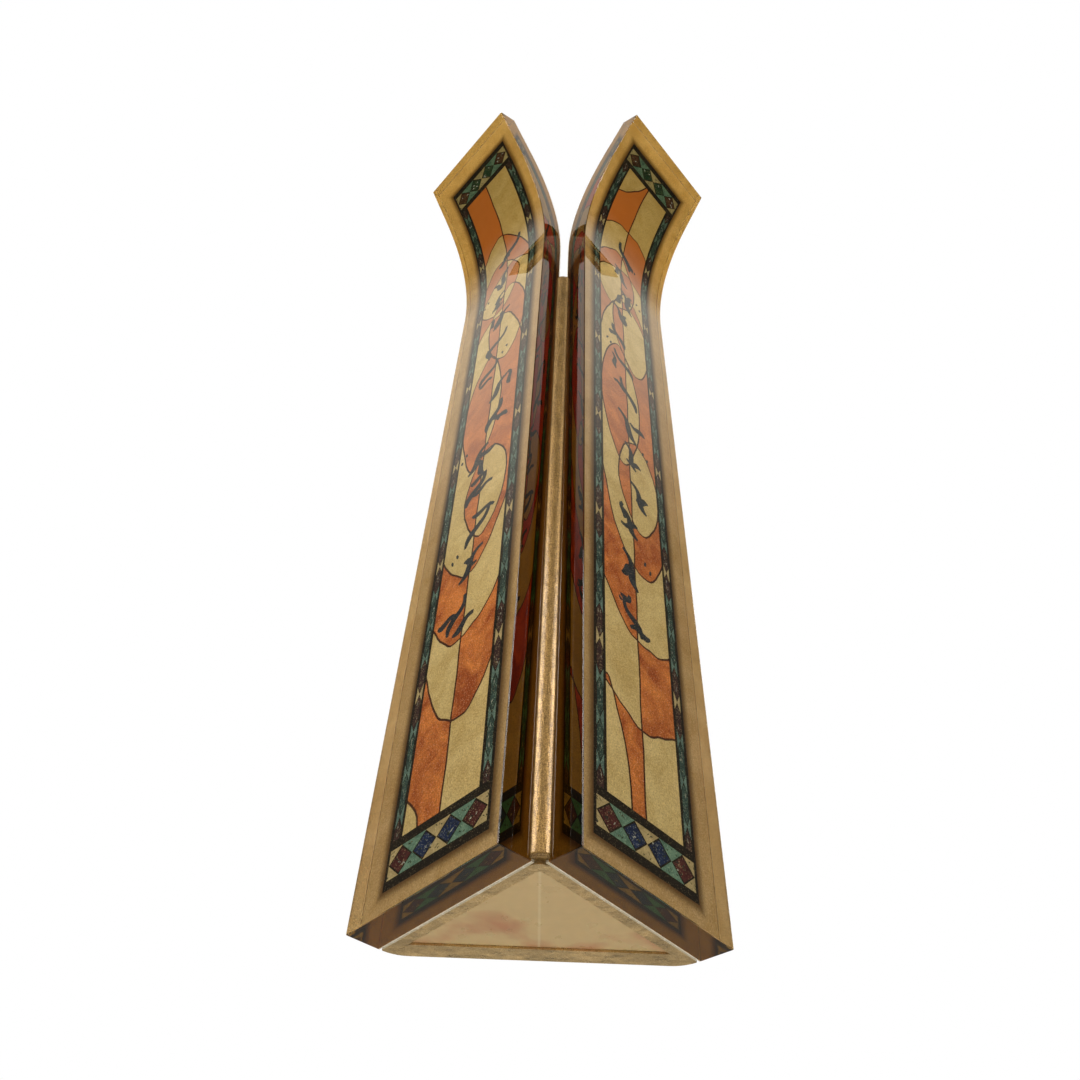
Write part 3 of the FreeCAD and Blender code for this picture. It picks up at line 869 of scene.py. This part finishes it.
world = bpy.data.worlds.new("studio")
bpy.context.scene.world = world
world.use_nodes = True
wn, wl = world.node_tree.nodes, world.node_tree.links
sky = wn["Background"]
aim = wn.new("ShaderNodeTexCoord")
glows = []
for axis, low, high, dim, bright in (OVERHEAD_GLOW, DEPTH_GLOW):
    along = wn.new("ShaderNodeVectorMath")
    along.operation = "DOT_PRODUCT"
    along.inputs[1].default_value = axis
    wl.new(aim.outputs["Generated"], along.inputs[0])
    slope = wn.new("ShaderNodeMapRange")
    slope.interpolation_type = "SMOOTHSTEP"
    for socket, value in (("From Min", low), ("From Max", high), ("To Min", dim), ("To Max", bright)):
        slope.inputs[socket].default_value = value
    wl.new(along.outputs["Value"], slope.inputs["Value"])
    glows.append(slope.outputs[0])
strength = wn.new("ShaderNodeMath")
strength.operation = "MULTIPLY"
wl.new(glows[0], strength.inputs[0])
wl.new(glows[1], strength.inputs[1])
wl.new(strength.outputs[0], sky.inputs["Strength"])
sky.inputs["Color"].default_value = (*SKY_COLOUR, 1)
seen = wn.new("ShaderNodeBackground")
seen.inputs["Strength"].default_value = 1.0
seen.inputs["Color"].default_value = (1, 1, 1, 1)
path = wn.new("ShaderNodeLightPath")
choose = wn.new("ShaderNodeMixShader")
wl.new(path.outputs["Is Camera Ray"], choose.inputs[0])
wl.new(sky.outputs[0], choose.inputs[1])
wl.new(seen.outputs[0], choose.inputs[2])
wl.new(choose.outputs[0], wn["World Output"].inputs["Surface"])


def soft_box(name, place, target, wide, high, watts, colour=(1, 0.97, 0.93)):
    """Rectangular lamp that neither the camera nor a ray bent by acrylic sees directly."""
    lamp = bpy.data.lights.new(name, "AREA")
    lamp.shape = "RECTANGLE"
    lamp.size, lamp.size_y = wide, high
    lamp.energy = watts
    lamp.color = colour
    holder = bpy.data.objects.new(name, lamp)
    holder.location = place
    holder.rotation_euler = (Vector(target) - Vector(place)).to_track_quat("-Z", "Y").to_euler()
    holder.visible_camera = False
    holder.visible_transmission = False
    bpy.context.collection.objects.link(holder)


soft_box("left key", (-0.57, -0.70, 0.56), (0, -0.02, 0.03), 0.6, 0.6, 9.7)
soft_box("right key", (0.57, -0.70, 0.56), (0, -0.02, 0.03), 0.5, 0.5, 7.5)
soft_box("low front", (0.05, -0.45, -0.75), (0, -0.02, -0.05), 0.4, 0.4, 0.9, (1, 0.93, 0.80))
soft_box("rear fill", (0.35, 0.80, 0.50), (0, 0, 0.03), 0.6, 0.6, 5.0)
soft_box("floor wash", (0, 0.1, level + 0.65), (0, 0.1, level), 1.6, 1.6, 6.0)

CAMERA_LENS = 32.8
CAMERA_TURN = (139.26, -2.056, -0.371)
CAMERA_PLACE = (0.0015, ridge_y - 0.09714, slab_foot - 0.0593)
camera_data = bpy.data.cameras.new("camera")
camera_data.lens = CAMERA_LENS
camera_data.sensor_width = 36
camera_data.clip_start = 0.005
camera = bpy.data.objects.new("camera", camera_data)
camera.location = CAMERA_PLACE
camera.rotation_euler = [math.radians(angle) for angle in CAMERA_TURN]
bpy.context.collection.objects.link(camera)
bpy.context.scene.camera = camera
bpy.context.scene.view_settings.view_transform = "Standard"
